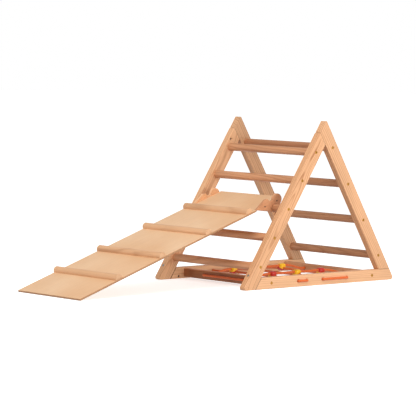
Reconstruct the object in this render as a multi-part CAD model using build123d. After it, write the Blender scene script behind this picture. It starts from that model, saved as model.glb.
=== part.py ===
from build123d import *
import math
import os

# Wooden climbing triangle with a hook-on cleated ramp and a rope net across its base.
# The frame stands on z = 0. The climber walks up the ramp towards +X, so -Y is the right-hand
# side and +Y the left. Until the last step, x = 0 lies under the triangle's apex; then every
# piece moves along X so that the origin is the centre of the whole outline's footprint.

# ---- driving dimensions, in millimetres ----
frame_width = 600.0          # over the outer faces of the two side triangles
ramp_half_base = 495.0       # floor distance from the apex to the ramp-side outer line
climb_half_base = 466.0      # floor distance from the apex to the climb-side outer line
apex_height = 748.0          # where the two outer lines would meet
flat_top_height = 740.0      # small level cut on top of the climb-side leg
tip_height = 687.0           # small level cut on top of the ramp-side leg
bevel_inset = 3.0            # the climb-side leg's top bevel lies this far inside
leg_width = 61.5
leg_thickness = 33.0
rail_height = 51.5
foot_radius = 10.0           # lower corner of the ramp-side leg
rail_end_radius = 12.0       # lower corner of the rail's free end
edge_radius = 2.5            # eased long edges of the frame timbers

rung_diameter = 36.0
rung_socket_depth = 10.0
ramp_side_rungs = 5
ramp_side_first = 157.0      # apex to first rung, measured along the outer line
ramp_side_pitch = 150.0
climb_side_rungs = 4
climb_side_first = 132.0
climb_side_pitch = 197.5
hook_rung_index = 2          # the ramp hangs on the third rung from the top

crossbar_thickness = 30.0
crossbar_low = 6.0
crossbar_high = 46.0
crossbar_edge_radius = 6.0
front_crossbar_x = -323.0
rear_crossbar_x = 318.0

screw_head_diameter = 14.0
screw_head_height = 3.5
screw_head_proud = 1.0
screw_shank_diameter = 6.0
screw_length = 76.0          # below the head
hex_key_across = 5.0
hex_key_depth = 2.2

bolt_head_diameter = 13.0
bolt_head_height = 7.0
bolt_head_sunk = 1.5
bolt_diameter = 6.0
bolt_hole_diameter = 7.0
nut_diameter = 12.0
nut_length = 18.0
nut_hole_depth = 26.0
foot_bolt_height = 65.0      # where the foot bolt enters the ramp-side leg's outer edge
foot_bolt_reach = 98.0       # outer edge to barrel nut
apex_bolt_along = 63.0       # apex to apex bolt, along the climb-side outer line
apex_bolt_reach = 107.5
rail_bolt_x = 385.0
rail_bolt_reach = 98.0
dowel_diameter = 8.0
dowel_length = 40.0
dowel_clearance = 1.0        # empty depth past each dowel end
foot_dowel_offset = 13.0     # bolt to dowel, along each joint
apex_dowel_offset = 18.0
rail_dowel_offset = 22.0

rope_diameter = 12.0
rope_hole_diameter = 13.0
rope_hole_radius = 3.0       # rounded mouth of every rope hole
rope_level = 26.0            # height of the rope holes
rope_gap = 0.5               # rope to the face that it runs along
rope_turn_radius = 10.0      # where it turns out of a hole and along a face
net_centre_x = -2.0
net_pitch_x = 154.0
net_half_y = 130.0
turn_back_pitch = 52.0       # from the last hole to the hole where the rope's end goes back in
cross_rope_crossing = 32.8   # heights of the two rope directions inside a clamp
long_rope_crossing = 45.2
knot_radius = 13.0

clamp_size = 34.0
clamp_corner_radius = 11.0
clamp_bore_diameter = 12.6
clamp_parting_tilt = 24.0    # degrees
clamps_leaning_to_ramp = (2, 4)
clamp_screw_offset = 10.5
clamp_screw_diameter = 3.0
clamp_screw_length = 22.0

board_width = 424.0
board_thickness = 9.0
board_end_radius = 3.0
board_corner_radius = 4.0
board_above_rung = 23.3      # rung axis to the board's underside
board_below_hook = 1171.0    # rung axis to the lower end, along the board
board_past_hook = 63.0       # rung axis to the upper end
cleat_positions = (227.0, 483.0, 763.0, 1018.0)
cleat_width = 36.0           # a rung's thickness, planed flat underneath
cleat_height = 21.0
cleat_inset = 1.0
cleat_top_radius = 17.5
cleat_screw_diameter = 4.0
cleat_screw_length = 22.0
cleat_screw_offsets = (-150.0, 0.0, 150.0)

plate_thickness = 12.0
plate_corner_radius = 2.5
notch_radius = 19.5
lobe_along = 26.0            # rounded head of the hook plate, from the rung axis
lobe_above = 33.0
lobe_radius = 26.0
hook_start = -111.0          # front tip of the hook plate, from the rung axis
plate_screw_along = (-56.0, 21.0)
plate_screw_diameter = 4.0
plate_screw_head = 7.0
plate_screw_length = 38.0

# ---- derived geometry ----
half_width = frame_width / 2
inner_face = half_width - leg_thickness
leg_middle = half_width - leg_thickness / 2
apex = Vector(0, 0, apex_height)
ramp_line = (Vector(-ramp_half_base, 0, 0) - apex).normalized()
climb_line = (Vector(climb_half_base, 0, 0) - apex).normalized()
ramp_inward = Vector(-ramp_line.Z, 0, ramp_line.X)
climb_inward = Vector(climb_line.Z, 0, -climb_line.X)


def on_line(start, direction, height):
    """Point of a line in the XZ plane at the given height."""
    return start + direction * ((height - start.Z) / direction.Z)


def crossing(start_a, direction_a, start_b, direction_b):
    """Point where two lines of the XZ plane meet."""
    gap = start_b - start_a
    turn = direction_a.X * direction_b.Z - direction_a.Z * direction_b.X
    return start_a + direction_a * ((gap.X * direction_b.Z - gap.Z * direction_b.X) / turn)


ramp_inner_start = apex + ramp_inward * leg_width
climb_inner_start = apex + climb_inward * leg_width
ramp_rungs = [
    apex + ramp_line * (ramp_side_first + ramp_side_pitch * index) + ramp_inward * (leg_width / 2)
    for index in range(ramp_side_rungs)
]
climb_rungs = [
    apex + climb_line * (climb_side_first + climb_side_pitch * index) + climb_inward * (leg_width / 2)
    for index in range(climb_side_rungs)
]
hook_rung = ramp_rungs[hook_rung_index]

# The ramp turns about the hook rung until the rounded lower end of its board touches the floor.
foot_along = board_below_hook - board_end_radius
foot_above = board_above_rung + board_end_radius
ramp_angle = math.degrees(
    math.asin((hook_rung.Z - board_end_radius) / math.hypot(foot_along, foot_above))
    + math.atan2(foot_above, foot_along)
)
ramp_place = Pos(hook_rung.X, 0, hook_rung.Z) * Rot(0, -ramp_angle, 0)

ramp_end_x = (
    hook_rung.X
    - foot_along * math.cos(math.radians(ramp_angle))
    - (board_above_rung + board_thickness - board_end_radius) * math.sin(math.radians(ramp_angle))
    - board_end_radius
)
rail_slope = math.atan2(apex_height, climb_half_base)
rail_end_x = climb_half_base - rail_end_radius / math.tan(rail_slope / 2) + rail_end_radius
centre_shift = -(ramp_end_x + rail_end_x) / 2

net_lines_x = [net_centre_x + net_pitch_x * step for step in (-1, 0, 1)]
turn_back_right = net_lines_x[0] + turn_back_pitch
turn_back_left = net_lines_x[2] - turn_back_pitch
rope_outer_y = half_width + rope_gap + rope_diameter / 2


def save(shape, node):
    """Write one sub-part, moved so that the origin is the footprint's centre."""
    export_step(Pos(centre_shift, 0, 0) * shape, f"parts/{node}.step")


def save_group(pieces, node):
    """Write identical small pieces as separate solids of one sub-part."""
    moved = [Pos(centre_shift, 0, 0) * piece for piece in pieces]
    export_step(Compound(children=moved), f"parts/{node}.step")


def mirrored(shape):
    return mirror(shape, about=Plane.XZ)


def board_from_outline(corners, low_y, thickness):
    """Flat timber whose outline is a polygon of the XZ plane."""
    outline = Polyline(*[(corner.X, 0, corner.Z) for corner in corners], close=True)
    return Pos(0, low_y, 0) * extrude(make_face(outline), amount=thickness, dir=(0, 1, 0))


def rod(start, direction, length, diameter):
    """Round bar from a point, along a direction."""
    place = Plane(origin=start, z_dir=direction)
    return place * Cylinder(diameter / 2, length, align=(Align.CENTER, Align.CENTER, Align.MIN))


def edges_along(shape, direction):
    """Straight edges of a side face that run along a direction."""
    chosen = []
    for edge in shape.edges().filter_by(GeomType.LINE):
        along = abs((edge @ 1 - edge @ 0).normalized().dot(direction))
        if along > 0.9999 and abs((edge @ 0.5).Y) > 1.0:
            chosen.append(edge)
    return chosen


def edge_near(shape, x, z):
    """The edge that runs along Y closest to a place in the XZ plane."""
    across = shape.edges().filter_by(Axis.Y)
    return across.sort_by(lambda edge: math.hypot((edge @ 0.5).X - x, (edge @ 0.5).Z - z))[0]


# ---- corner joints of the side triangles ----
def corner_joints():
    """Each joint as bolt entry, bolt direction, depth to the nut, depth to the joint, dowel shift."""
    foot_entry = on_line(apex, ramp_line, foot_bolt_height)
    apex_entry = apex + climb_line * apex_bolt_along
    rail_entry = Vector(rail_bolt_x, 0, 0)
    up = Vector(0, 0, 1)
    return [
        (foot_entry, ramp_inward, foot_bolt_reach, leg_width, ramp_line * -foot_dowel_offset),
        (apex_entry, climb_inward, apex_bolt_reach, leg_width, climb_line * apex_dowel_offset),
        (rail_entry, up, rail_bolt_reach, rail_height, Vector(rail_dowel_offset, 0, 0)),
    ]


def joint_cavities():
    """Everything drilled for the three corner joints of the right-hand triangle."""
    drilled = []
    middle = Vector(0, -leg_middle, 0)
    for entry, inward, reach, depth, shift in corner_joints():
        start = entry + middle
        counterbore = bolt_head_height + bolt_head_sunk
        drilled.append(rod(start - inward, inward, counterbore + 1, bolt_head_diameter + 1))
        drilled.append(rod(start, inward, reach + nut_diameter, bolt_hole_diameter))
        nut_mouth = Vector(entry.X, -inner_face, entry.Z) + inward * reach
        drilled.append(rod(nut_mouth, Vector(0, -1, 0), nut_hole_depth, nut_diameter))
        dowel_start = start + shift + inward * (depth - dowel_length / 2 - dowel_clearance)
        drilled.append(rod(dowel_start, inward, dowel_length + 2 * dowel_clearance, dowel_diameter))
    return drilled


def corner_bolt(entry, inward, reach):
    start = Vector(entry.X, -leg_middle, entry.Z) + inward * bolt_head_sunk
    head = rod(start, inward, bolt_head_height, bolt_head_diameter)
    shank = rod(start, inward, reach + nut_diameter / 2 - bolt_head_sunk, bolt_diameter)
    key = Plane(origin=start, z_dir=inward) * extrude(
        RegularPolygon(hex_key_across / 2, 6, major_radius=False), amount=4.0
    )
    return head + shank - key


def barrel_nut(entry, inward, reach):
    mouth = Vector(entry.X, -leg_middle + nut_length / 2, entry.Z) + inward * reach
    body = rod(mouth, Vector(0, -1, 0), nut_length, nut_diameter)
    thread = rod(Vector(entry.X, -leg_middle, entry.Z), inward, reach + nut_diameter, bolt_diameter)
    return body - thread


def corner_dowel(entry, inward, depth, shift):
    start = Vector(entry.X, -leg_middle, entry.Z) + shift + inward * (depth - dowel_length / 2)
    return rod(start, inward, dowel_length, dowel_diameter)


# ---- timbers of the right-hand triangle ----
def screw_cavity(x, z):
    """Counterbore and shank hole of a rung or crossbar screw, cut from the outer face."""
    outer = Vector(x, -half_width, z)
    seat = rod(outer - Vector(0, 1, 0), Vector(0, 1, 0), screw_head_height - screw_head_proud + 1,
               screw_head_diameter)
    return seat + rod(outer, Vector(0, 1, 0), leg_thickness + 1, screw_shank_diameter)


def rung_socket(rung):
    return rod(Vector(rung.X, -inner_face, rung.Z), Vector(0, -1, 0), rung_socket_depth, rung_diameter)


def drilled_for_rungs(leg, rungs):
    for rung in rungs:
        leg -= rung_socket(rung)
        leg -= screw_cavity(rung.X, rung.Z)
    return leg


def ramp_side_leg():
    foot = on_line(apex, ramp_line, 0)
    corners = [
        foot,
        on_line(ramp_inner_start, ramp_line, 0),
        crossing(ramp_inner_start, ramp_line, climb_inner_start, climb_line),
        on_line(climb_inner_start, climb_line, tip_height),
        on_line(apex, ramp_line, tip_height),
    ]
    leg = board_from_outline(corners, -half_width, leg_thickness)
    leg = fillet(edge_near(leg, foot.X, 0), foot_radius)
    leg = fillet(edges_along(leg, ramp_line), edge_radius)
    leg -= joint_cavities()
    return drilled_for_rungs(leg, ramp_rungs)


def climb_side_leg():
    bevel_start = apex + ramp_inward * bevel_inset
    corners = [
        on_line(climb_inner_start, climb_line, rail_height),
        on_line(apex, climb_line, rail_height),
        on_line(apex, climb_line, flat_top_height),
        on_line(bevel_start, ramp_line, flat_top_height),
        crossing(bevel_start, ramp_line, climb_inner_start, climb_line),
    ]
    leg = board_from_outline(corners, -half_width, leg_thickness)
    leg = fillet(edges_along(leg, climb_line), edge_radius)
    leg -= joint_cavities()
    return drilled_for_rungs(leg, climb_rungs)


def rope_hole(start, direction, length):
    """Rope hole with both mouths rounded, as one cutting solid."""
    bore = rod(start, direction, length, rope_hole_diameter)
    radius = rope_hole_diameter / 2
    for mouth, outward in ((start, direction * -1), (start + direction * length, direction)):
        place = Plane(origin=mouth, z_dir=outward * -1)
        flare = place * Cone(radius + rope_hole_radius, radius, rope_hole_radius,
                             align=(Align.CENTER, Align.CENTER, Align.MIN))
        bore += flare
    return bore


def base_rail(hole_positions):
    corners = [
        on_line(ramp_inner_start, ramp_line, 0),
        on_line(apex, climb_line, 0),
        on_line(apex, climb_line, rail_height),
        on_line(ramp_inner_start, ramp_line, rail_height),
    ]
    rail = board_from_outline(corners, -half_width, leg_thickness)
    rail = fillet(edge_near(rail, climb_half_base, 0), rail_end_radius)
    rail = fillet(edges_along(rail, Vector(1, 0, 0)), edge_radius)
    rail -= joint_cavities()
    for x in (front_crossbar_x, rear_crossbar_x):
        rail -= screw_cavity(x, rope_level)
    for x in hole_positions:
        rail -= rope_hole(Vector(x, -half_width, rope_level), Vector(0, 1, 0), leg_thickness)
    return rail


def crossbar(x):
    height = crossbar_high - crossbar_low
    bar = Pos(x, 0, crossbar_low + height / 2) * Box(crossbar_thickness, 2 * inner_face, height)
    bar = fillet(bar.edges().filter_by(Axis.Y), crossbar_edge_radius)
    for side in (-1, 1):
        low = Vector(x - crossbar_thickness / 2, side * net_half_y, rope_level)
        bar -= rope_hole(low, Vector(1, 0, 0), crossbar_thickness)
        bar -= rod(Vector(x, side * inner_face, rope_level), Vector(0, -side, 0),
                   screw_length - leg_thickness + screw_head_height, screw_shank_diameter)
    return bar


# ---- rungs and their screws ----
def rung_bar(rung):
    half_length = inner_face + rung_socket_depth
    bar = rod(Vector(rung.X, -half_length, rung.Z), Vector(0, 1, 0), 2 * half_length, rung_diameter)
    for side in (-1, 1):
        bar -= rod(Vector(rung.X, side * half_length, rung.Z), Vector(0, -side, 0),
                   screw_length - leg_thickness + screw_head_height + rung_socket_depth,
                   screw_shank_diameter)
    return bar


def furniture_screw(x, z):
    """Domed hexagon-socket screw driven in from the right-hand outer face."""
    seat = Vector(x, -half_width + screw_head_height - screw_head_proud, z)
    head = rod(seat, Vector(0, -1, 0), screw_head_height, screw_head_diameter)
    rim = head.edges().filter_by(GeomType.CIRCLE).sort_by(Axis.Y)[0]
    head = fillet(rim, screw_head_proud)
    shank = rod(seat, Vector(0, 1, 0), screw_length, screw_shank_diameter)
    face = Plane(origin=Vector(x, -half_width - screw_head_proud, z), z_dir=Vector(0, 1, 0))
    key = face * extrude(RegularPolygon(hex_key_across / 2, 6, major_radius=False), amount=hex_key_depth)
    return head + shank - key


def both_sides(pieces):
    """Pieces on the right, with their mirror images on the left."""
    return pieces + [mirrored(piece) for piece in pieces]


# ---- rope net ----
def rope_tube(points, turn_corners):
    """Round rope along straight runs; turn_corners are the sharp corners at the hole mouths."""
    radii = []
    for index in range(1, len(points) - 1):
        before = points[index] - points[index - 1]
        after = points[index + 1] - points[index]
        if index in turn_corners:
            radii.append(rope_turn_radius)
        else:
            half_turn = math.radians(before.get_angle(after)) / 2
            radii.append(0.45 * min(before.length, after.length) / math.tan(half_turn))
    path = FilletPolyline(*points, radius=radii)
    section = Plane(origin=path @ 0, z_dir=path % 0) * Circle(rope_diameter / 2)
    rope = sweep(section, path=path)
    print("rope length", round(path.length))
    return rope


def cross_run(x, side):
    """Inner points of one rope run across the frame, starting from the given side (-1 or 1)."""
    shape = [(242, rope_level), (158, cross_rope_crossing), (102, cross_rope_crossing),
             (0, cross_rope_crossing - 1.5),
             (-102, cross_rope_crossing), (-158, cross_rope_crossing), (-242, rope_level)]
    return [Vector(x, side * y, z) for y, z in shape]


def cross_rope():
    """One rope laced three times across the frame, with both ends turned back inside."""
    first, second, third = net_lines_x
    knot_y = inner_face - knot_radius
    points = [Vector(turn_back_right, -knot_y, rope_level)]
    points.append(Vector(turn_back_right, -rope_outer_y, rope_level))
    points.append(Vector(first, -rope_outer_y, rope_level))
    points += cross_run(first, -1)
    points.append(Vector(first, rope_outer_y, rope_level))
    points.append(Vector(second, rope_outer_y, rope_level))
    points += cross_run(second, 1)
    points.append(Vector(second, -rope_outer_y, rope_level))
    points.append(Vector(third, -rope_outer_y, rope_level))
    points += cross_run(third, -1)
    points.append(Vector(third, rope_outer_y, rope_level))
    points.append(Vector(turn_back_left, rope_outer_y, rope_level))
    points.append(Vector(turn_back_left, knot_y, rope_level))
    corners = [index for index, point in enumerate(points) if abs(point.Y) > half_width]
    return rope_tube(points, corners)


def long_run(y):
    """Points of one rope run from the rear crossbar towards the front one."""
    knot_x = rear_crossbar_x + crossbar_thickness / 2 + knot_radius
    points = [Vector(knot_x, y, rope_level), Vector(274, y, rope_level), Vector(214, y, 42)]
    for x in reversed(net_lines_x):
        points.append(Vector(x + 28, y, long_rope_crossing))
        points.append(Vector(x - 28, y, long_rope_crossing))
        if x != net_lines_x[0]:
            points.append(Vector(x - net_pitch_x / 2, y, long_rope_crossing - 1.5))
    points += [Vector(-218, y, 42), Vector(-280, y, rope_level)]
    return points


def long_rope():
    """One rope that runs the frame's length, round the front crossbar's face and back."""
    front_x = front_crossbar_x - crossbar_thickness / 2 - rope_gap - rope_diameter / 2
    points = long_run(net_half_y)
    turn = len(points)
    points.append(Vector(front_x, net_half_y, rope_level))
    points.append(Vector(front_x, -net_half_y, rope_level))
    points += reversed(long_run(-net_half_y))
    return rope_tube(points, [turn, turn + 1])


def stopper_knot(centre, outward):
    """Rounded knot on a rope end, bored for the rope that enters it."""
    ball = Pos(*centre) * Sphere(knot_radius)
    return ball - rod(centre, outward, knot_radius + 1, rope_diameter)


def end_knots():
    knot_y = inner_face - knot_radius
    knot_x = rear_crossbar_x + crossbar_thickness / 2 + knot_radius
    return {
        "right_rail_end_knot": stopper_knot(Vector(turn_back_right, -knot_y, rope_level), Vector(0, -1, 0)),
        "left_rail_end_knot": stopper_knot(Vector(turn_back_left, knot_y, rope_level), Vector(0, 1, 0)),
        "right_rear_end_knot": stopper_knot(Vector(knot_x, -net_half_y, rope_level), Vector(-1, 0, 0)),
        "left_rear_end_knot": stopper_knot(Vector(knot_x, net_half_y, rope_level), Vector(-1, 0, 0)),
    }


# ---- net clamps ----
clamp_height = (cross_rope_crossing + long_rope_crossing) / 2


def clamp_halves(x, y, lean):
    """Upper and lower shell of a rounded clamp that holds two crossing ropes."""
    body = Pos(x, y, clamp_height) * Box(clamp_size, clamp_size, clamp_size)
    body = fillet(body.edges(), clamp_corner_radius)
    reach = Vector(clamp_size, 0, 0)
    body -= rod(Vector(x, y, long_rope_crossing) - reach, Vector(1, 0, 0), 2 * clamp_size,
                clamp_bore_diameter)
    reach = Vector(0, clamp_size, 0)
    body -= rod(Vector(x, y, cross_rope_crossing) - reach, Vector(0, 1, 0), 2 * clamp_size,
                clamp_bore_diameter)
    for screw in clamp_screw_pair(x, y):
        body -= screw
    upper_space = Pos(x, y, clamp_height) * lean * Box(
        3 * clamp_size, 3 * clamp_size, 2 * clamp_size, align=(Align.CENTER, Align.CENTER, Align.MIN)
    )
    return body & upper_space, body - upper_space


def clamp_screw_pair(x, y):
    pair = []
    for side in (-1, 1):
        low = Vector(x + side * clamp_screw_offset, y + side * clamp_screw_offset,
                     clamp_height - clamp_screw_length / 2)
        pair.append(rod(low, Vector(0, 0, 1), clamp_screw_length, clamp_screw_diameter))
    return pair


# ---- ramp, modelled about the rung axis: X up the board, Z out of its walking face ----
def ramp_board():
    length = board_below_hook + board_past_hook
    centre_x = board_past_hook - length / 2
    centre_z = board_above_rung + board_thickness / 2
    board = Pos(centre_x, 0, centre_z) * Box(length, board_width, board_thickness)
    board = fillet(board.edges().filter_by(Axis.Z), board_corner_radius)
    rebate_length = board_past_hook - hook_start
    for side in (-1, 1):
        middle_y = side * (board_width - plate_thickness) / 2
        board -= Pos(hook_start + rebate_length / 2, middle_y, centre_z) * Box(
            rebate_length + 0.2, plate_thickness, board_thickness + 2
        )
        for along in plate_screw_along:
            start = Vector(along, side * board_width / 2, centre_z)
            board -= rod(start, Vector(0, -side, 0), plate_screw_length, plate_screw_diameter)
    lower_end = board.edges().filter_by(Axis.Y).sort_by(Axis.X)[:2]
    board = fillet(lower_end, board_end_radius)
    for position in cleat_positions:
        for offset in cleat_screw_offsets:
            board -= cleat_screw(position, offset)
    return ramp_place * board


def cleat_body(position):
    centre_x = position - board_below_hook
    low = board_above_rung + board_thickness
    cleat = Pos(centre_x, 0, low + cleat_height / 2) * Box(
        cleat_width, board_width - 2 * cleat_inset, cleat_height
    )
    upper = cleat.edges().filter_by(Axis.Y).sort_by(Axis.Z)[2:]
    return fillet(upper, cleat_top_radius)


def ramp_cleat(position):
    cleat = cleat_body(position)
    for offset in cleat_screw_offsets:
        cleat -= cleat_screw(position, offset)
    return ramp_place * cleat


def cleat_screw(position, offset):
    """Countersunk screw from the board's underside into a cleat."""
    start = Vector(position - board_below_hook, offset, board_above_rung)
    shank = rod(start, Vector(0, 0, 1), cleat_screw_length, cleat_screw_diameter)
    head = Pos(*start) * Cone(cleat_screw_diameter, cleat_screw_diameter / 2, 2.4,
                              align=(Align.CENTER, Align.CENTER, Align.MIN))
    return head + shank


def hook_plate():
    """Right-hand plate that hooks over the rung from above, in the board's edge rebate."""
    outline = [
        (hook_start, 30), (-44, 57), (-31, 55), (-20, 38), (23, 38), (44, 30), (37, 2), (31, -18),
        (10, -18), (0, -8), (-26, -8), (-36, 0), (-46, 6),
    ]
    profile = make_face(Polyline(*outline, close=True)) + Pos(lobe_along, lobe_above) * Circle(lobe_radius)
    mouth = Pos(0, -notch_radius) * Rectangle(2 * notch_radius, 2 * notch_radius)
    profile -= Circle(notch_radius) + mouth
    plate = Pos(0, -board_width / 2 + plate_thickness, 0) * (
        Plane.XZ * extrude(profile, amount=plate_thickness)
    )
    corners = []
    for edge in plate.edges().filter_by(Axis.Y):
        along, above = (edge @ 0.5).X, (edge @ 0.5).Z
        notch_side = abs(abs(along) - notch_radius) < 0.1 and abs(above) < 0.1
        if not notch_side and (along < 5 or above < -10):
            corners.append(edge)
    plate = fillet(corners, plate_corner_radius)
    for along in plate_screw_along:
        plate -= plate_screw(along)
    return ramp_place * plate


def plate_screw(along):
    """Round-head screw through the right-hand hook plate into the board's edge."""
    outer = Vector(along, -board_width / 2, board_above_rung + board_thickness / 2)
    shank = rod(outer, Vector(0, 1, 0), plate_screw_length, plate_screw_diameter)
    head = rod(outer, Vector(0, 1, 0), 2.5, plate_screw_head)
    return shank + head


def build():
    os.makedirs("parts", exist_ok=True)

    leg = ramp_side_leg()
    save(leg, "right_ramp_side_leg")
    save(mirrored(leg), "left_ramp_side_leg")
    leg = climb_side_leg()
    save(leg, "right_climb_side_leg")
    save(mirrored(leg), "left_climb_side_leg")
    save(base_rail([*net_lines_x, turn_back_right]), "right_base_rail")
    save(mirrored(base_rail([*net_lines_x, turn_back_left])), "left_base_rail")
    save(crossbar(front_crossbar_x), "front_crossbar")
    save(crossbar(rear_crossbar_x), "rear_crossbar")

    for index, rung in enumerate(ramp_rungs):
        save(rung_bar(rung), f"ramp_side_rung_{index + 1}")
    for index, rung in enumerate(climb_rungs):
        save(rung_bar(rung), f"climb_side_rung_{index + 1}")

    save_group(both_sides([furniture_screw(rung.X, rung.Z) for rung in ramp_rungs + climb_rungs]),
               "rung_screws")
    save_group(both_sides([furniture_screw(x, rope_level)
                           for x in (front_crossbar_x, rear_crossbar_x)]), "crossbar_screws")
    joints = corner_joints()
    save_group(both_sides([corner_bolt(entry, inward, reach)
                           for entry, inward, reach, _, _ in joints]), "corner_bolts")
    save_group(both_sides([barrel_nut(entry, inward, reach)
                           for entry, inward, reach, _, _ in joints]), "corner_barrel_nuts")
    save_group(both_sides([corner_dowel(entry, inward, depth, shift)
                           for entry, inward, _, depth, shift in joints]), "corner_dowels")

    save(cross_rope(), "cross_rope")
    save(long_rope(), "long_rope")
    for node, knot in end_knots().items():
        save(knot, node)
    screws = []
    number = 0
    for y in (-net_half_y, net_half_y):
        for x in net_lines_x:
            number += 1
            lean = Rot(clamp_parting_tilt, 0, 0)
            if number in clamps_leaning_to_ramp:
                lean = Rot(0, -clamp_parting_tilt, 0)
            upper, lower = clamp_halves(x, y, lean)
            save(upper, f"net_clamp_{number}_upper")
            save(lower, f"net_clamp_{number}_lower")
            screws += clamp_screw_pair(x, y)
    save_group(screws, "clamp_screws")

    save(ramp_board(), "ramp_board")
    for index, position in enumerate(cleat_positions):
        save(ramp_cleat(position), f"ramp_cleat_{index + 1}")
    save_group([ramp_place * cleat_screw(position, offset)
                for position in cleat_positions for offset in cleat_screw_offsets], "cleat_screws")
    plate = hook_plate()
    save(plate, "right_hook_plate")
    save(mirrored(plate), "left_hook_plate")
    save_group(both_sides([ramp_place * plate_screw(along) for along in plate_screw_along]),
               "hook_plate_screws")
    print("shift", round(centre_shift, 2), "ramp angle", round(ramp_angle, 2),
          "hook rung", round(hook_rung.X + centre_shift, 2), round(hook_rung.Z, 2))


build()
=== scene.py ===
import math

import bmesh
import bpy
import numpy as np
from mathutils import Matrix, Vector


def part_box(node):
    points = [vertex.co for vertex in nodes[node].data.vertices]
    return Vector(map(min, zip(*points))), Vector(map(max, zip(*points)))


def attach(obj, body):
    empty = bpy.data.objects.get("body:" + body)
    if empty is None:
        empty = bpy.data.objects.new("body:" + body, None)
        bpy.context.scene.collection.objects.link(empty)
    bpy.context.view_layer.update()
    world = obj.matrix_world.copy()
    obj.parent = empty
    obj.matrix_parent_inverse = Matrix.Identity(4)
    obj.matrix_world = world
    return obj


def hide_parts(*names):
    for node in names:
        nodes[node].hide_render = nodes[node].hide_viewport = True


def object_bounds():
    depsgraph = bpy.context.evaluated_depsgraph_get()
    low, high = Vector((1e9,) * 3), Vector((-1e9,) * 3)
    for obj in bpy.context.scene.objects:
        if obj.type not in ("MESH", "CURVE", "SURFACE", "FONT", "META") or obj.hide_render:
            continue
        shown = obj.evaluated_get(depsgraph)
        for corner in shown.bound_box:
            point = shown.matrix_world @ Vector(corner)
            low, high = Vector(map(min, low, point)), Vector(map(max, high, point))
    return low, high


# A wooden climbing triangle with a hook-on cleated ramp and a rope net across its base.
# Metres. +X up the ramp towards the triangle, -Y the near (right-hand) side, +Z up.

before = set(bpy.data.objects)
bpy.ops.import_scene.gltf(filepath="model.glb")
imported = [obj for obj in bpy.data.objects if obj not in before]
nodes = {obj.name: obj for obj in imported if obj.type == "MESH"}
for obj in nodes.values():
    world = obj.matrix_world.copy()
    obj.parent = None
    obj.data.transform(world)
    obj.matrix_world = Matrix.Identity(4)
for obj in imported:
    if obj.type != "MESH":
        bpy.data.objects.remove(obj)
cad_low, cad_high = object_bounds()

# ---- sizes and places read from the frame ----
FRONT_BAR_LOW, FRONT_BAR_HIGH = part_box("front_crossbar")
REAR_BAR_LOW, REAR_BAR_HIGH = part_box("rear_crossbar")
RAIL_LOW, RAIL_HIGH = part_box("right_base_rail")
ROPE_LEVEL = 0.026
CROSS_CROSSING = 0.0328          # heights of the two rope directions inside a clamp
LONG_CROSSING = 0.0452
ROPE_RADIUS = 0.006
CAD_HEIGHT = cad_high.z - cad_low.z
LEG_WIDTH = 0.0615
HALF_WIDTH = -RAIL_LOW.y
INNER_FACE = -RAIL_HIGH.y
ROPE_CLEARANCE = 0.0005
ROPE_OUTER_Y = HALF_WIDTH + ROPE_CLEARANCE + ROPE_RADIUS
NET_LINES_X = [sum(corner.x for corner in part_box(f"net_clamp_{number}_upper")) / 2 for number in (1, 2, 3)]
NET_HALF_Y = 0.130
KNOT_RADIUS = 0.013
TURN_BACK = 0.052                # from the last rail hole to the hole where the rope's end goes back in
ROPE_TURN = 0.014                # from a turn's corner to the points beside it
BOARD_THICKNESS = 0.009


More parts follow.
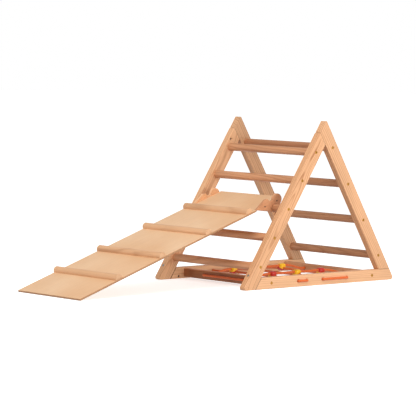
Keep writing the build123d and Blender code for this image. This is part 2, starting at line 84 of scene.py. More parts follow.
# ---- shader building blocks ----
class Shader:
    """One material, with a short way of adding linked nodes."""

    def __init__(self, name):
        self.material = bpy.data.materials.new(name)
        self.material.use_nodes = True
        self.tree = self.material.node_tree
        self.tree.nodes.clear()
        self.surface = self.add("ShaderNodeBsdfPrincipled")
        output = self.tree.nodes.new("ShaderNodeOutputMaterial")
        self.tree.links.new(self.surface.outputs["BSDF"], output.inputs["Surface"])

    def add(self, kind, inputs=None, **settings):
        node = self.tree.nodes.new(kind)
        for key, value in settings.items():
            setattr(node, key, value)
        for key, value in (inputs or {}).items():
            self.feed(node.inputs[key], value)
        return node

    def feed(self, socket, value):
        if isinstance(value, bpy.types.NodeSocket):
            self.tree.links.new(value, socket)
        else:
            socket.default_value = value

    def math(self, operation, first, second=0.0, third=0.0):
        node = self.add("ShaderNodeMath", {0: first, 1: second, 2: third}, operation=operation)
        return node.outputs[0]

    def vector(self, operation, first, second=(0.0, 0.0, 0.0)):
        return self.add("ShaderNodeVectorMath", {0: first, 1: second}, operation=operation)

    def noise(self, vector, scale, detail=2.0, roughness=0.5):
        inputs = {"Vector": vector, "Scale": scale, "Detail": detail, "Roughness": roughness}
        return self.add("ShaderNodeTexNoise", inputs).outputs["Fac"]

    def remap(self, value, low, high, to_low, to_high):
        inputs = {"Value": value, "From Min": low, "From Max": high, "To Min": to_low, "To Max": to_high}
        return self.add("ShaderNodeMapRange", inputs).outputs["Result"]

    def ramp(self, value, stops):
        node = self.add("ShaderNodeValToRGB", {"Fac": value})
        elements = node.color_ramp.elements
        while len(elements) < len(stops):
            elements.new(0.5)
        for element, (position, color) in zip(elements, stops):
            element.position = position
            element.color = (*color, 1.0)
        return node.outputs["Color"]

    def mix(self, share, first, second):
        """Two colours mixed. Sockets 0, 6 and 7 are the colour mix's share, first and second colour."""
        node = self.add("ShaderNodeMix", data_type="RGBA")
        self.feed(node.inputs[0], share)
        self.feed(node.inputs[6], first if isinstance(first, bpy.types.NodeSocket) else (*first, 1.0))
        self.feed(node.inputs[7], second if isinstance(second, bpy.types.NodeSocket) else (*second, 1.0))
        return node.outputs[2]

    def brighten(self, color, value):
        """Colour times a grey value, or times another colour."""
        return self.add("ShaderNodeVectorMath", {0: color, 1: value}, operation="MULTIPLY").outputs[0]

    def bump(self, height, distance, strength=1.0):
        inputs = {"Height": height, "Distance": distance, "Strength": strength}
        self.feed(self.surface.inputs["Normal"], self.add("ShaderNodeBump", inputs).outputs["Normal"])

    def object_space(self, matrix, scale=(1.0, 1.0, 1.0)):
        """Object coordinates turned and moved into a piece's own axes, then stretched."""
        coordinates = self.add("ShaderNodeTexCoord").outputs["Object"]
        inputs = {"Vector": coordinates, "Location": matrix.translation, "Rotation": matrix.to_euler()}
        turned = self.add("ShaderNodeMapping", inputs)
        if tuple(scale) == (1.0, 1.0, 1.0):
            return turned.outputs["Vector"]
        return self.vector("MULTIPLY", turned.outputs["Vector"], scale).outputs[0]


def piece_axes(centre, along, face):
    """Matrix from the whole object's axes to a piece's: X along its grain, Y out of its wide face."""
    x_axis = Vector(along).normalized()
    y_axis = (Vector(face) - x_axis * x_axis.dot(Vector(face))).normalized()
    z_axis = x_axis.cross(y_axis)
    rotation = Matrix((x_axis, y_axis, z_axis))
    return Matrix.Translation(rotation @ -Vector(centre)) @ rotation.to_4x4()


# ---- wood ----
def joint_line(shader, normal, offset):
    """Strength of a joint's dark line: full within a millimetre of the joint's plane, then fading to 0."""
    half_width, end_of_fade, full = 0.0010, 0.0024, 0.85
    place = shader.add("ShaderNodeTexCoord").outputs["Object"]
    height = shader.vector("DOT_PRODUCT", place, tuple(normal)).outputs["Value"]
    distance = shader.math("ABSOLUTE", shader.math("SUBTRACT", height, offset))
    return shader.remap(distance, half_width, end_of_fade, full, 0.0)


def timber(name, axes, sapwood, heartwood, ring_gap=0.0042, pith=(-0.055, 0.004), swirl=0.016, tone=1.0,
           contrast=1.0, reach=0.07, joint=None, painted_lit_top=False):
    """Solid timber: growth rings about a pith beside the board, fibres, flecks and a dark joint line.

    pith is how far the tree's centre lies out of the wide face and across it. swirl is how far the rings
    wander along the board. reach is the distance over which heartwood fades into sapwood. joint is the
    plane that the piece's end is cut to, as a normal and an offset. painted_lit_top paints a highlight on
    the faces that look up, using a much lighter copy of the timber's colour: painted light. Each noise is
    drawn out along the grain.
    """
    shader = Shader(name)
    place = shader.object_space(axes)
    # The rings run round the pith line, which wanders slowly along the board.
    wander = shader.vector("MULTIPLY", place, (1.6, 9.0, 9.0)).outputs[0]
    drift = shader.noise(wander, 1.0, 2.5, 0.45)
    across = shader.vector("SUBTRACT", place, (0.0, pith[0], pith[1])).outputs[0]
    radial = shader.vector("LENGTH", shader.vector("MULTIPLY", across, (0.012, 1.0, 1.0)).outputs[0])
    radius = shader.math("MULTIPLY_ADD", drift, swirl * 2, radial.outputs["Value"])
    fine_wander = shader.vector("MULTIPLY", place, (14.0, 120.0, 120.0)).outputs[0]
    wobble = shader.noise(fine_wander, 1.0, 3.0, 0.6)
    radius = shader.math("MULTIPLY_ADD", wobble, ring_gap * 0.35, radius)
    ring = shader.math("FRACT", shader.math("DIVIDE", radius, ring_gap))
    # A ring is darkest in its late wood, at 0.85 of its width, and pales quickly after it.
    ring_tones = [(0.0, 0.15), (0.2, 0.0), (0.55, 0.12), (0.85, 1.0), (1.0, 0.15)]
    line = shader.ramp(ring, [(position, (grey,) * 3) for position, grey in ring_tones])
    # Some rings are darker than others.
    year = shader.math("FLOOR", shader.math("DIVIDE", radius, ring_gap))
    year_tone = shader.add("ShaderNodeTexWhiteNoise", {"W": year}, noise_dimensions="1D").outputs["Value"]
    depth = shader.remap(year_tone, 0.0, 1.0, 0.30 * contrast, 0.80 * contrast)
    line_share = shader.math("MULTIPLY", line, depth)
    face_radius = swirl - pith[0]
    heart = shader.remap(radius, face_radius - reach * 0.4, face_radius + reach * 0.6, 1.0, 0.0)
    base = shader.mix(heart, sapwood, heartwood)
    late = tuple(value * share for value, share in zip(heartwood, (0.62, 0.48, 0.38)))
    base = shader.mix(line_share, base, late)
    patches = shader.noise(shader.vector("MULTIPLY", place, (5.0, 22.0, 22.0)).outputs[0], 1.0, 2.0)
    streaks = shader.noise(shader.vector("MULTIPLY", place, (3.0, 260.0, 260.0)).outputs[0], 1.0, 3.0, 0.6)
    fibres = shader.noise(shader.vector("MULTIPLY", place, (60.0, 2600.0, 2600.0)).outputs[0], 1.0, 2.0)
    flecks = shader.noise(shader.vector("MULTIPLY", place, (230.0, 1500.0, 1500.0)).outputs[0], 1.0, 1.0)
    fleck_mask = shader.remap(flecks, 0.66, 0.74, 0.0, 0.22 * contrast)
    value = shader.remap(patches, 0.3, 0.7, 0.94 * tone, 1.05 * tone)
    value = shader.math("MULTIPLY", value, shader.remap(streaks, 0.3, 0.7, 0.95, 1.04))
    value = shader.math("MULTIPLY", value, shader.remap(fibres, 0.25, 0.75, 0.97, 1.03))
    base = shader.brighten(base, value)
    base = shader.mix(fleck_mask, base, late)
    if joint:
        base = shader.mix(joint_line(shader, *joint), base, tuple(value * 0.25 for value in heartwood))
    # Painted highlight: faces that look up take a much lighter copy of the colour, standing in for the light
    # that falls on top.
    if painted_lit_top:
        normal = shader.add("ShaderNodeTexCoord").outputs["Normal"]
        upward = shader.vector("DOT_PRODUCT", normal, (0.0, 0.0, 1.0)).outputs["Value"]
        painted_top_light = shader.brighten(base, (2.2, 2.5, 2.8))
        base = shader.mix(shader.remap(upward, 0.3, 0.9, 0.0, 1.0), base, painted_top_light)
    shader.feed(shader.surface.inputs["Base Color"], base)
    gloss = shader.remap(fibres, 0.2, 0.8, 0.40, 0.52)
    gloss = shader.math("ADD", gloss, shader.math("MULTIPLY", line_share, 0.2))
    shader.feed(shader.surface.inputs["Roughness"], gloss)
    shader.surface.inputs["Coat Weight"].default_value = 0.04
    shader.surface.inputs["Coat Roughness"].default_value = 0.3
    shader.surface.inputs["Specular IOR Level"].default_value = 0.25
    height = shader.math("MULTIPLY_ADD", line_share, -0.6, fibres)
    shader.bump(height, 0.00012, 0.6)
    return shader.material


def plywood(name, axes, veneer, dark_ply, board_thickness):
    """Birch plywood: rotary-cut face veneer, and crossed layers with dark glue lines along the edges."""
    shader = Shader(name)
    place = shader.object_space(axes)
    wander = shader.vector("MULTIPLY", place, (2.2, 9.0, 3.0)).outputs[0]
    figure = shader.noise(wander, 1.0, 2.0, 0.5)
    lift = shader.add("ShaderNodeSeparateXYZ", {0: place}).outputs
    contour = shader.math("FRACT", shader.math("MULTIPLY", figure, 26.0))
    figure_line = [(0.0, 0.3), (0.5, 0.0), (0.9, 1.0), (1.0, 0.3)]
    grain = shader.ramp(contour, [(position, (grey,) * 3) for position, grey in figure_line])
    cloud = shader.noise(shader.vector("MULTIPLY", place, (3.0, 3.0, 14.0)).outputs[0], 1.0, 3.0, 0.55)
    fibres = shader.noise(shader.vector("MULTIPLY", place, (70.0, 1800.0, 1800.0)).outputs[0], 1.0, 2.0)
    streaks = shader.noise(shader.vector("MULTIPLY", place, (4.0, 160.0, 160.0)).outputs[0], 1.0, 3.0, 0.6)
    warm = tuple(value * share for value, share in zip(veneer, (0.90, 0.79, 0.68)))
    face = shader.mix(shader.math("MULTIPLY", grain, 0.16), veneer, warm)
    face = shader.mix(shader.remap(cloud, 0.38, 0.68, 0.0, 0.85), face, warm)
    value = shader.math("MULTIPLY", shader.remap(streaks, 0.3, 0.7, 0.965, 1.03),
                        shader.remap(fibres, 0.25, 0.75, 0.97, 1.025))
    face = shader.brighten(face, value)
    # Seven plies, pale and dark by turns, so three and a half pairs in the board's thickness.
    layer = shader.math("FRACT", shader.math("DIVIDE", lift["Z"], board_thickness / 3.5))
    crossed = shader.math("GREATER_THAN", layer, 0.5)
    glue = shader.ramp(shader.math("PINGPONG", layer, 0.25),
                       [(0.0, (1.0,) * 3), (0.16, (0.0,) * 3), (1.0, (0.0,) * 3)])
    pale_ply = tuple(value * share for value, share in zip(veneer, (0.78, 0.64, 0.50)))
    edge = shader.mix(crossed, pale_ply, dark_ply)
    edge = shader.mix(shader.math("MULTIPLY", glue, 0.7), edge, tuple(value * 0.45 for value in dark_ply))
    edge_fleck = shader.noise(shader.vector("MULTIPLY", place, (500.0, 500.0, 900.0)).outputs[0], 1.0, 2.0)
    edge = shader.brighten(edge, shader.remap(edge_fleck, 0.3, 0.7, 0.88, 1.05))
    normal = shader.add("ShaderNodeTexCoord").outputs["Normal"]
    out_of_face = axes.to_3x3().transposed() @ Vector((0, 0, 1))
    facing = shader.math("ABSOLUTE", shader.vector("DOT_PRODUCT", normal, out_of_face).outputs["Value"])
    is_face = shader.remap(facing, 0.75, 0.9, 0.0, 1.0)
    shader.feed(shader.surface.inputs["Base Color"], shader.mix(is_face, edge, face))
    shader.feed(shader.surface.inputs["Roughness"], shader.remap(fibres, 0.2, 0.8, 0.38, 0.5))
    shader.surface.inputs["Coat Weight"].default_value = 0.06
    shader.surface.inputs["Coat Roughness"].default_value = 0.28
    shader.surface.inputs["Specular IOR Level"].default_value = 0.3
    shader.bump(fibres, 0.0001, 0.5)
    return shader.material


# ---- other materials ----
def moulded_plastic(name, color, deep):
    """Glossy moulded plastic with faint flow marks and a fine orange-peel skin."""
    shader = Shader(name)
    place = shader.object_space(Matrix.Identity(4))
    flow = shader.noise(shader.vector("MULTIPLY", place, (60.0, 60.0, 110.0)).outputs[0], 1.0, 3.0, 0.55)
    peel = shader.noise(place, 900.0, 2.0)
    scuff = shader.noise(shader.vector("MULTIPLY", place, (900.0, 120.0, 400.0)).outputs[0], 1.0, 3.0, 0.7)
    base = shader.mix(shader.remap(flow, 0.35, 0.7, 0.0, 0.35), color, deep)
    shader.feed(shader.surface.inputs["Base Color"], base)
    shader.feed(shader.surface.inputs["Roughness"], shader.remap(scuff, 0.3, 0.75, 0.22, 0.42))
    shader.surface.inputs["Subsurface Weight"].default_value = 0.08
    shader.surface.inputs["Subsurface Radius"].default_value = (0.004, 0.002, 0.001)
    shader.bump(peel, 0.00008, 0.5)
    return shader.material


def metal(name, color, dark, base_roughness):
    """Plated metal with turning marks and slight tarnish."""
    shader = Shader(name)
    place = shader.object_space(Matrix.Identity(4))
    tarnish = shader.noise(place, 260.0, 4.0, 0.6)
    marks = shader.noise(shader.vector("MULTIPLY", place, (2200.0, 160.0, 2200.0)).outputs[0], 1.0, 2.0)
    shader.feed(shader.surface.inputs["Base Color"],
                shader.mix(shader.remap(tarnish, 0.35, 0.75, 0.0, 0.8), color, dark))
    shader.feed(shader.surface.inputs["Roughness"],
                shader.remap(marks, 0.2, 0.8, base_roughness - 0.06, base_roughness + 0.12))
    shader.surface.inputs["Metallic"].default_value = 0.85
    shader.bump(marks, 0.00005, 0.4)
    return shader.material


def braided_fibre(name, color, deep):
    """Polyester rope: filament lines along the strands, painted shade where strands dip under."""
    shader = Shader(name)
    dip = shader.add("ShaderNodeAttribute", attribute_name="strand_height").outputs["Fac"]
    place = shader.object_space(Matrix.Identity(4))
    filaments = shader.noise(place, 1900.0, 3.0, 0.6)
    soil = shader.noise(place, 45.0, 3.0, 0.6)
    # Painted shade: the colour deepens where the strands dip under each other.
    base = shader.mix(shader.remap(dip, 0.0, 0.75, 1.0, 0.0), color, deep)
    base = shader.mix(shader.remap(soil, 0.45, 0.8, 0.0, 0.25), base, deep)
    base = shader.brighten(base, shader.remap(filaments, 0.3, 0.7, 0.88, 1.08))
    shader.feed(shader.surface.inputs["Base Color"], base)
    shader.feed(shader.surface.inputs["Roughness"], shader.remap(filaments, 0.2, 0.8, 0.5, 0.68))
    shader.surface.inputs["Sheen Weight"].default_value = 0.25
    shader.surface.inputs["Sheen Roughness"].default_value = 0.4
    shader.bump(filaments, 0.0002, 0.6)
    return shader.material


def give(material, *names):
    """Puts one material on CAD nodes."""
    for name in names:
        slots = nodes[name].data.materials
        slots.clear()
        slots.append(material)


SAPWOOD = (0.80, 0.450, 0.240)
HEARTWOOD = (0.68, 0.345, 0.165)
RUNG_SAPWOOD = (0.62, 0.30, 0.150)
RUNG_HEARTWOOD = (0.52, 0.225, 0.105)
# Painted shade: these dark colours stand in for the shadow that the ramp casts on the front crossbar's face.
SHADE_PAINTED_SAPWOOD = (0.38, 0.140, 0.052)
SHADE_PAINTED_HEARTWOOD = (0.31, 0.105, 0.038)
CLEAT_SAPWOOD = (0.72, 0.415, 0.225)
CLEAT_HEARTWOOD = (0.62, 0.33, 0.17)
VENEER = (0.83, 0.545, 0.325)
CORE_VENEER = (0.40, 0.175, 0.075)


def box_centre(name):
    low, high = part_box(name)
    return (low + high) / 2


def inner_edge_plane(along, rung, opposite_rung):
    """Plane of a leg's inner edge, from its direction, a rung on its middle line and an opposite rung."""
    outward = along.cross(Vector((0, 1, 0))).normalized()
    if outward.dot(box_centre(rung) - box_centre(opposite_rung)) < 0:
        outward.negate()
    return outward, outward.dot(box_centre(rung)) - LEG_WIDTH / 2


def dress_side_triangles():
    """Legs and base rails, each with its own grain and a joint line where it meets the next piece."""
    ramp_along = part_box("ramp_side_rung_1")[0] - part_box("ramp_side_rung_5")[0]
    climb_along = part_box("climb_side_rung_1")[0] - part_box("climb_side_rung_4")[0]
    ramp_joint = inner_edge_plane(climb_along, "climb_side_rung_1", "ramp_side_rung_5")
    rail_joint = inner_edge_plane(ramp_along, "ramp_side_rung_5", "climb_side_rung_4")
    climb_joint = (Vector((0, 0, 1)), RAIL_HIGH.z)
    level = Vector((1, 0, 0))
    # Each piece is cut from its own stretch of an endless plank, which shift picks.
    # The climb legs are painted darker, the far (left) one most: painted shade.
    for side, outward, painted_climb_shade, side_shift in (("right", -1.0, 0.96, 0.0), ("left", 1.0, 0.84, 5.3)):
        for piece, along, pith, ring_gap, swirl, contrast, tone, joint, shift in (
            ("ramp_side_leg", ramp_along, (-0.026, 0.004), 0.0046, 0.032, 1.15, 1.0, ramp_joint, 0.3),
            ("climb_side_leg", climb_along, (-0.020, -0.062), 0.0070, 0.010, 0.95, painted_climb_shade,
             climb_joint, 1.7),
            ("base_rail", level, (-0.030, 0.050), 0.0062, 0.010, 0.60, 1.0, rail_joint, 3.1),
        ):
            name = f"{side}_{piece}"
            axes = piece_axes(box_centre(name), along, (0, outward, 0))
            axes = Matrix.Translation((shift + side_shift, 0, 0)) @ axes
            material = timber(f"beech_{name}", axes, SAPWOOD, HEARTWOOD, ring_gap, pith, swirl, tone,
                              contrast, joint=joint)
            give(material, name)


def dress_bars():
    """Rungs, each turned its own way round, and the two crossbars."""
    for number, name in enumerate(sorted(node for node in nodes if "_rung_" in node)):
        axes = piece_axes(box_centre(name), (0, 1, 0), (math.cos(number), 0, math.sin(number)))
        axes = Matrix.Translation((number * 2.3, 0, 0)) @ axes
        # Painted light and shade by height: ramp-side rungs get lighter lower down to make up for the ramp's
        # shadow over them, and climb-side rungs get darker lower down as painted shade. The last term varies
        # the tone from rung to rung.
        height = box_centre(name).z / CAD_HEIGHT
        painted_light_downwards = 0.32 if name.startswith("ramp_side") else -0.08
        tone = 0.84 + painted_light_downwards * (1 - height) + 0.03 * (number * 5 % 3)
        material = timber(f"beech_{name}", axes, RUNG_SAPWOOD, RUNG_HEARTWOOD, ring_gap=0.0034,
                          pith=(-0.030, 0.003), swirl=0.008, tone=tone, contrast=0.8, reach=0.05)
        give(material, name)
    # The front crossbar takes the shade-painted dark colours, with a painted highlight on its upward faces.
    for name, outward, shift, sapwood, heartwood, painted_lit_top in (
        ("front_crossbar", -1, 40.0, SHADE_PAINTED_SAPWOOD, SHADE_PAINTED_HEARTWOOD, True),
        ("rear_crossbar", 1, 43.7, RUNG_SAPWOOD, RUNG_HEARTWOOD, False),
    ):
        axes = Matrix.Translation((shift, 0, 0)) @ piece_axes(box_centre(name), (0, 1, 0), (outward, 0, 0))
        material = timber(f"beech_{name}", axes, sapwood, heartwood, ring_gap=0.0038, pith=(-0.04, 0.0),
                          swirl=0.010, tone=0.95, painted_lit_top=painted_lit_top)
        give(material, name)


def dress_ramp():
    """Board, cleats and hook plates."""
    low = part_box("ramp_board")[0]
    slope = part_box("ramp_cleat_4")[0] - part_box("ramp_cleat_1")[0]
    slope.y = 0
    up_board = slope.normalized()
    out_of_board = Vector((0, 1, 0)).cross(up_board) * -1
    # The layers are counted from the underside, so the ramp's axes start on it, at the lower end.
    foot = Vector((low.x, 0, low.z))
    axes = Matrix((up_board, Vector((0, 1, 0)), out_of_board)).to_4x4()
    axes = Matrix.Translation(axes.to_3x3() @ -foot) @ axes
    give(plywood("birch_ramp_board", axes, VENEER, CORE_VENEER, BOARD_THICKNESS), "ramp_board")
    for number in range(1, 5):
        name = f"ramp_cleat_{number}"
        cleat_axes = piece_axes(box_centre(name), (0, 1, 0), out_of_board)
        cleat_axes = Matrix.Translation((60 + number * 1.9, 0, 0)) @ cleat_axes
        material = timber(f"birch_{name}", cleat_axes, CLEAT_SAPWOOD, CLEAT_HEARTWOOD, ring_gap=0.0036,
                          pith=(-0.045, 0.006), swirl=0.008, contrast=0.55)
        give(material, name)
    for name, outward, shift, sapwood, heartwood in (
        ("right_hook_plate", -1, 80.0, RUNG_SAPWOOD, RUNG_HEARTWOOD),
        ("left_hook_plate", 1, 82.9, SAPWOOD, HEARTWOOD),
    ):
        plate_axes = piece_axes(box_centre(name), up_board, (0, outward, 0))
        plate_axes = Matrix.Translation((shift, 0, 0)) @ plate_axes
        material = timber(f"beech_{name}", plate_axes, sapwood, heartwood, ring_gap=0.0052,
                          pith=(-0.04, 0.01), swirl=0.010, tone=1.1)
        give(material, name)


def dress_fittings():
    """Screws, bolts, barrel nuts, dowels and net clamps."""
    brass = metal("brass_plate", (0.52, 0.26, 0.045), (0.26, 0.115, 0.03), 0.36)
    dark_steel = metal("dark_zinc_steel", (0.22, 0.23, 0.24), (0.10, 0.10, 0.11), 0.40)
    bright_steel = metal("bright_zinc_steel", (0.62, 0.62, 0.60), (0.40, 0.40, 0.40), 0.34)
    black_steel = metal("black_screw_steel", (0.030, 0.024, 0.020), (0.012, 0.010, 0.009), 0.5)
    give(brass, "rung_screws", "crossbar_screws")
    give(black_steel, "hook_plate_screws")
    give(dark_steel, "corner_barrel_nuts")
    give(bright_steel, "corner_bolts", "clamp_screws", "cleat_screws")
    dowel_axes = piece_axes(box_centre("corner_dowels"), (1, 0, 0), (0, 1, 0))
    give(timber("beech_dowels", dowel_axes, SAPWOOD, HEARTWOOD), "corner_dowels")
    yellow = moulded_plastic("yellow_plastic", (0.97, 0.53, 0.008), (0.88, 0.40, 0.005))
    red = moulded_plastic("red_plastic", (0.60, 0.030, 0.016), (0.45, 0.016, 0.010))
    for number in range(1, 7):
        yellow_on_top = number in (2, 4, 6)
        give(yellow if yellow_on_top else red, f"net_clamp_{number}_upper")
        give(red if yellow_on_top else yellow, f"net_clamp_{number}_lower")


# ---- ropes ----
def smooth_route(name, points):
    """Points of a smooth curve that follows the route, read from its NURBS spline."""
    curve = bpy.data.curves.new(name + "_route", "CURVE")
    curve.dimensions = "3D"
    curve.resolution_u = 24
    spline = curve.splines.new("NURBS")
    spline.points.add(len(points) - 1)
    for control, point in zip(spline.points, points):
        control.co = (*point, 1.0)
    spline.order_u = 3
    spline.use_endpoint_u = True
    holder = bpy.data.objects.new(name + "_route", curve)
    bpy.context.scene.collection.objects.link(holder)
    mesh = bpy.data.meshes.new_from_object(holder)
    line = np.array([vertex.co for vertex in mesh.vertices], float)
    bpy.data.objects.remove(holder)
    bpy.data.meshes.remove(mesh)
    # A point that repeats the one before it would have no direction.
    steps = np.linalg.norm(np.diff(line, axis=0), axis=1)
    kept = np.concatenate(([True], steps > 1e-7))
    return line[kept]


def even_steps(line, step):
    """The same line, with points a fixed distance apart, and the distance of each from the start."""
    lengths = np.concatenate(([0.0], np.cumsum(np.linalg.norm(np.diff(line, axis=0), axis=1))))
    count = max(2, int(round(lengths[-1] / step)))
    wanted = np.linspace(0.0, lengths[-1], count + 1)
    return np.stack([np.interp(wanted, lengths, line[:, axis]) for axis in range(3)], axis=1), wanted


def carried_frames(line):
    """Directions across the line, carried along it without twist."""
    tangents = np.gradient(line, axis=0)
    tangents /= np.linalg.norm(tangents, axis=1)[:, None]
    side = np.cross(tangents[0], (0.0, 0.0, 1.0))
    side /= np.linalg.norm(side)
    sides = [side]
    for tangent in tangents[1:]:
        side = sides[-1] - tangent * np.dot(sides[-1], tangent)
        sides.append(side / np.linalg.norm(side))
    sides = np.array(sides)
    return sides, np.cross(tangents, sides)


def braid_height(along, around, strands, pitch):
    """Height from 0 to 1 of a plaited sleeve at a place on the rope: two sets of strands that cross."""
    first = around * strands / 2 + along / pitch * strands / 2
    second = around * strands / 2 - along / pitch * strands / 2
    crown_first = np.cos(2 * math.pi * first) * 0.5 + 0.5
    crown_second = np.cos(2 * math.pi * second) * 0.5 + 0.5
    over = np.cos(math.pi * (np.floor(first + 0.5) + np.floor(second + 0.5)))
    lift_first = np.sqrt(crown_first) * (0.75 + 0.25 * over * np.cos(2 * math.pi * second))
    lift_second = np.sqrt(crown_second) * (0.75 - 0.25 * over * np.cos(2 * math.pi * first))
    return np.clip(np.maximum(lift_first, lift_second), 0.0, 1.0)


def tube_faces(rings, sides):
    """Quads between successive rings, with an n-gon at each end."""
    faces = []
    for ring in range(rings - 1):
        start = ring * sides
        for corner in range(sides):
            after = (corner + 1) % sides
            faces.append((start + corner, start + after, start + sides + after, start + sides + corner))
    faces.append(tuple(range(sides - 1, -1, -1)))
    faces.append(tuple(range((rings - 1) * sides, rings * sides)))
    return faces


def rope(name, points, material, replaced):
    """Plaited rope along a route, in place of its plain solid."""
    step, around_count = 0.0011, 36
    strands, pitch, relief = 12, 0.060, 0.0009
    tip_length = 0.003
    line, along = even_steps(smooth_route(name, points), step)
    sides_a, sides_b = carried_frames(line)
    turn = np.arange(around_count) / around_count
    height = braid_height(along[:, None], turn[None, :], strands, pitch)
    radius = ROPE_RADIUS - relief * (1.0 - height)
    # The ends close over a rounded tip.
    tip = np.minimum(along, along[-1] - along)
    cap = np.sqrt(np.clip(1.0 - (1.0 - np.clip(tip / tip_length, 0.0, 1.0)) ** 2, 0.02, 1.0))
    radius = radius * cap[:, None]
    circle = (np.cos(2 * math.pi * turn)[None, :, None] * sides_a[:, None, :]
              + np.sin(2 * math.pi * turn)[None, :, None] * sides_b[:, None, :])
    places = line[:, None, :] + circle * radius[:, :, None]
    mesh = bpy.data.meshes.new(name)
    mesh.from_pydata(places.reshape(-1, 3).tolist(), [], tube_faces(len(line), around_count))
    mesh.polygons.foreach_set("use_smooth", [True] * len(mesh.polygons))
    layer = mesh.attributes.new("strand_height", "FLOAT", "POINT")
    layer.data.foreach_set("value", height.astype(np.float32).ravel())
    as_piece(name, mesh, material, replaced)


def as_piece(name, mesh, material, replaced):
    """Rope mesh as a piece that rides on the frame."""
    mesh.materials.append(material)
    piece = bpy.data.objects.new(name, mesh)
    bpy.context.scene.collection.objects.link(piece)
    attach(piece, "frame")
    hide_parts(replaced)


def cross_run(x, side):
    """One run of the cross rope, from the near side's hole (-1) or the far side's (1)."""
    shape = ((INNER_FACE + 0.018, ROPE_LEVEL), (INNER_FACE - 0.003, ROPE_LEVEL), (0.242, ROPE_LEVEL),
             (0.158, CROSS_CROSSING), (0.102, CROSS_CROSSING), (0.0, CROSS_CROSSING - 0.0015),
             (-0.102, CROSS_CROSSING), (-0.158, CROSS_CROSSING), (-0.242, ROPE_LEVEL),
             (-INNER_FACE + 0.003, ROPE_LEVEL), (-INNER_FACE - 0.018, ROPE_LEVEL))
    return [(x, side * y, z) for y, z in shape]


def along_rail(x_start, x_end, side):
    """The rope's short run along a rail's outer face, with a point near each turn."""
    y = side * ROPE_OUTER_Y
    near = ROPE_TURN if x_end > x_start else -ROPE_TURN
    inside = side * (ROPE_OUTER_Y - ROPE_TURN)
    places = [(x_start, inside), (x_start, y), (x_start + near, y), ((x_start + x_end) / 2, y),
              (x_end - near, y), (x_end, y), (x_end, inside)]
    return [(*place, ROPE_LEVEL) for place in places]


def cross_rope_points():
    """Laced route across the frame; both ends turn back in to a knot behind a rail."""
    first, second, third = NET_LINES_X
    knot_y = INNER_FACE - KNOT_RADIUS
    return [
        (first + TURN_BACK, -knot_y, ROPE_LEVEL),
        *along_rail(first + TURN_BACK, first, -1),
        *cross_run(first, -1),
        *along_rail(first, second, 1),
        *cross_run(second, 1),
        *along_rail(second, third, -1),
        *cross_run(third, -1),
        *along_rail(third, third - TURN_BACK, 1),
        (third - TURN_BACK, knot_y, ROPE_LEVEL),
    ]


def long_run(y):
    """Half of the long rope, from its knot behind the rear crossbar to the front crossbar."""
    first, second, third = NET_LINES_X
    apex_x = second + 0.002      # under the apex, just past the net's middle line
    clear = 0.028                # from a clamp's centre to the points beside it
    half_mesh = 0.077            # from a clamp's centre to the middle of the next opening
    sag = LONG_CROSSING - 0.0015
    shoulder = 0.042             # where the rope starts down to a crossbar's hole
    route = [
        (REAR_BAR_HIGH.x + KNOT_RADIUS, ROPE_LEVEL), (REAR_BAR_LOW.x - 0.004, ROPE_LEVEL),
        (apex_x + 0.274, ROPE_LEVEL), (apex_x + 0.214, shoulder),
        (third + clear, LONG_CROSSING), (third - clear, LONG_CROSSING), (third - half_mesh, sag),
        (second + clear, LONG_CROSSING), (second - clear, LONG_CROSSING), (second - half_mesh, sag),
        (first + clear, LONG_CROSSING), (first - clear, LONG_CROSSING),
        (apex_x - 0.218, shoulder), (apex_x - 0.280, ROPE_LEVEL), (FRONT_BAR_HIGH.x + 0.004, ROPE_LEVEL),
    ]
    return [(x, y, z) for x, z in route]


def long_rope_points():
    """Two runs along the frame, joined across the front crossbar's outer face."""
    front_x = FRONT_BAR_LOW.x - ROPE_CLEARANCE - ROPE_RADIUS
    turn = [(front_x + ROPE_TURN, NET_HALF_Y, ROPE_LEVEL), (front_x, NET_HALF_Y, ROPE_LEVEL),
            (front_x, NET_HALF_Y - ROPE_TURN, ROPE_LEVEL)]
    turn_mirrored = [(x, -y, z) for x, y, z in reversed(turn)]
    run_back = reversed(long_run(-NET_HALF_Y))
    return [*long_run(NET_HALF_Y), *turn, (front_x, 0.0, ROPE_LEVEL), *turn_mirrored, *run_back]


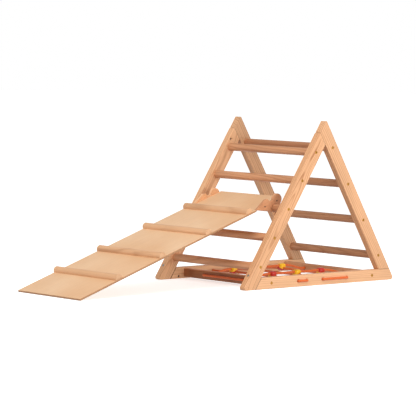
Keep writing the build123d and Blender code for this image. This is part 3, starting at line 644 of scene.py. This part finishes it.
def end_knot(name, axis, material):
    """Rope-end knob: the rope's own strands plaited over and under round a ball."""
    centre = box_centre(name)
    leads, bights, steps, sides = 3, 5, 420, 10
    strand, weave_height, top_latitude = 0.0034, 0.0008, 0.95
    ball = KNOT_RADIUS - strand - weave_height
    phase = np.arange(steps) / steps * 2 * math.pi
    latitude = top_latitude * np.cos(bights * phase)
    longitude = leads * phase
    reach = ball + weave_height * np.cos(2 * bights * phase + math.pi / 2)
    level_reach = reach * np.cos(latitude)
    local = np.stack([level_reach * np.cos(longitude), level_reach * np.sin(longitude),
                      reach * np.sin(latitude)], axis=1)
    turn = Vector((0, 0, 1)).rotation_difference(Vector(axis)).to_matrix()
    local = local @ np.array(turn).T + np.array(centre)
    tangents = np.roll(local, -1, axis=0) - np.roll(local, 1, axis=0)
    tangents /= np.linalg.norm(tangents, axis=1)[:, None]
    outward = local - np.array(centre)
    outward -= tangents * np.sum(outward * tangents, axis=1)[:, None]
    outward /= np.linalg.norm(outward, axis=1)[:, None]
    across = np.cross(tangents, outward)
    angle = np.arange(sides) / sides * 2 * math.pi
    circle = (np.cos(angle)[None, :, None] * outward[:, None, :]
              + np.sin(angle)[None, :, None] * across[:, None, :])
    places = (local[:, None, :] + circle * strand).reshape(-1, 3)
    faces = []
    for ring in range(steps):
        start, following = ring * sides, (ring + 1) % steps * sides
        for corner in range(sides):
            after = (corner + 1) % sides
            faces.append((start + corner, start + after, following + after, following + corner))
    bm = bmesh.new()
    corners = [bm.verts.new(place) for place in places]
    for face in faces:
        bm.faces.new([corners[index] for index in face])
    bmesh.ops.create_icosphere(bm, subdivisions=3, radius=ball, matrix=Matrix.Translation(centre))
    bmesh.ops.recalc_face_normals(bm, faces=bm.faces)
    mesh = bpy.data.meshes.new(name + "_plaited")
    bm.to_mesh(mesh)
    bm.free()
    mesh.polygons.foreach_set("use_smooth", [True] * len(mesh.polygons))
    # The strand height paints each strand darker on its side towards the ball, and the ball itself all dark:
    # painted shade.
    layer = mesh.attributes.new("strand_height", "FLOAT", "POINT")
    strand_height = np.tile(np.cos(angle) * 0.5 + 0.5, steps)
    ball_height = np.zeros(len(mesh.vertices) - len(places))
    layer.data.foreach_set("value", np.concatenate((strand_height, ball_height)).astype(np.float32))
    as_piece(name + "_plaited", mesh, material, name)


def build_net():
    """Both ropes and the four knots that hold their ends."""
    fibre = braided_fibre("orange_braid", (0.82, 0.150, 0.014), (0.42, 0.050, 0.005))
    rope("braided_cross_rope", cross_rope_points(), fibre, "cross_rope")
    rope("braided_long_rope", long_rope_points(), fibre, "long_rope")
    end_knot("right_rail_end_knot", (0, 1, 0), fibre)
    end_knot("left_rail_end_knot", (0, 1, 0), fibre)
    end_knot("right_rear_end_knot", (1, 0, 0), fibre)
    end_knot("left_rear_end_knot", (1, 0, 0), fibre)


# ---- studio ----
def build_floor():
    """Pale studio paper, level and wide enough to fill every view."""
    shader = Shader("studio_paper")
    place = shader.object_space(Matrix.Identity(4))
    mottling = shader.noise(place, 1.3, 3.0)
    paper = shader.mix(mottling, (0.93, 0.93, 0.93), (0.95, 0.95, 0.95))
    shader.feed(shader.surface.inputs["Base Color"], paper)
    shader.surface.inputs["Roughness"].default_value = 0.9
    shader.surface.inputs["Specular IOR Level"].default_value = 0.1
    # The paper gives some light of its own, so shadows on it stay faint.
    shader.surface.inputs["Emission Color"].default_value = (1.0, 1.0, 1.0, 1.0)
    shader.surface.inputs["Emission Strength"].default_value = 0.6
    bm = bmesh.new()
    reach, just_under = 30.0, -0.0005
    corners = ((-reach, -reach), (reach, -reach), (reach, reach), (-reach, reach))
    bm.faces.new([bm.verts.new((x, y, just_under)) for x, y in corners])
    mesh = bpy.data.meshes.new("studio_floor")
    bm.to_mesh(mesh)
    bm.free()
    mesh.materials.append(shader.material)
    floor = bpy.data.objects.new("studio_floor", mesh)
    # It throws no light back up onto the object.
    floor.visible_diffuse = False
    bpy.context.scene.collection.objects.link(floor)


def area_light(name, place, target, size, power):
    """Rectangular soft box that faces a target."""
    light = bpy.data.lights.new(name, "AREA")
    light.shape = "RECTANGLE"
    light.size, light.size_y = size
    light.energy = power
    holder = bpy.data.objects.new(name, light)
    holder.location = place
    holder.rotation_mode = "QUATERNION"
    holder.rotation_quaternion = (Vector(target) - Vector(place)).to_track_quat("-Z", "Y")
    bpy.context.scene.collection.objects.link(holder)


def build_lights():
    """Soft boxes above and beside, in a studio that is white at eye level and dim below."""
    world = bpy.data.worlds.new("studio_air")
    world.use_nodes = True
    tree = world.node_tree
    background = tree.nodes["Background"]
    direction = tree.nodes.new("ShaderNodeTexCoord").outputs["Generated"]
    height = tree.nodes.new("ShaderNodeSeparateXYZ")
    tree.links.new(direction, height.inputs[0])
    # The ramp runs from 0 straight down to 1 straight up. A white band lies about the horizon at 0.5.
    dim_below, band_low, band_high, ceiling = 0.12, 0.42, 0.54, 0.60
    warm_grey, white, grey = (0.24, 0.185, 0.15, 1.0), (1.0, 1.0, 1.0, 1.0), (0.52, 0.52, 0.52, 1.0)
    sky = tree.nodes.new("ShaderNodeValToRGB")
    sky.color_ramp.elements[0].position = dim_below
    sky.color_ramp.elements[0].color = warm_grey
    sky.color_ramp.elements[1].position = band_low
    sky.color_ramp.elements[1].color = white
    sky.color_ramp.elements.new(band_high).color = white
    sky.color_ramp.elements.new(ceiling).color = grey
    share = tree.nodes.new("ShaderNodeMath")
    share.operation = "MULTIPLY_ADD"
    share.inputs[1].default_value = 0.5
    share.inputs[2].default_value = 0.5
    tree.links.new(height.outputs["Z"], share.inputs[0])
    tree.links.new(share.outputs[0], sky.inputs["Fac"])
    tree.links.new(sky.outputs["Color"], background.inputs["Color"])
    background.inputs["Strength"].default_value = 1.0
    bpy.context.scene.world = world
    bpy.context.scene.view_settings.view_transform = "Standard"
    area_light("key_box", (-1.8, -0.9, 3.0), (0.1, 0.0, 0.2), (1.8, 1.8), 66.0)
    area_light("front_box", (0.35, -2.3, 0.55), (0.45, -0.3, 0.12), (1.3, 0.9), 25.0)


def build_camera():
    """Long lens, from the ramp's foot end on the near side, a little above the object."""
    sensor_width, lens = 36.0, 207.9
    azimuth, elevation, roll = (math.radians(degrees) for degrees in (-42.332, 4.037, 0.996))
    standpoint = (-7.22924, -7.9423, 1.1025)
    camera = bpy.data.cameras.new("studio_camera")
    camera.sensor_width = sensor_width
    camera.lens = lens
    camera.clip_start = 0.5
    camera.clip_end = 100.0
    holder = bpy.data.objects.new("studio_camera", camera)
    bpy.context.scene.collection.objects.link(holder)
    back = Vector((math.sin(azimuth) * math.cos(elevation), -math.cos(azimuth) * math.cos(elevation),
                   math.sin(elevation)))
    level_right = Vector((math.cos(azimuth), math.sin(azimuth), 0))
    level_up = back.cross(level_right)
    right = math.cos(roll) * level_right + math.sin(roll) * level_up
    up = -math.sin(roll) * level_right + math.cos(roll) * level_up
    place = Matrix((right, up, back)).transposed().to_4x4()
    place.translation = standpoint
    holder.matrix_world = place
    bpy.context.scene.camera = holder


dress_side_triangles()
dress_bars()
dress_ramp()
dress_fittings()
build_net()
build_floor()
build_lights()
build_camera()
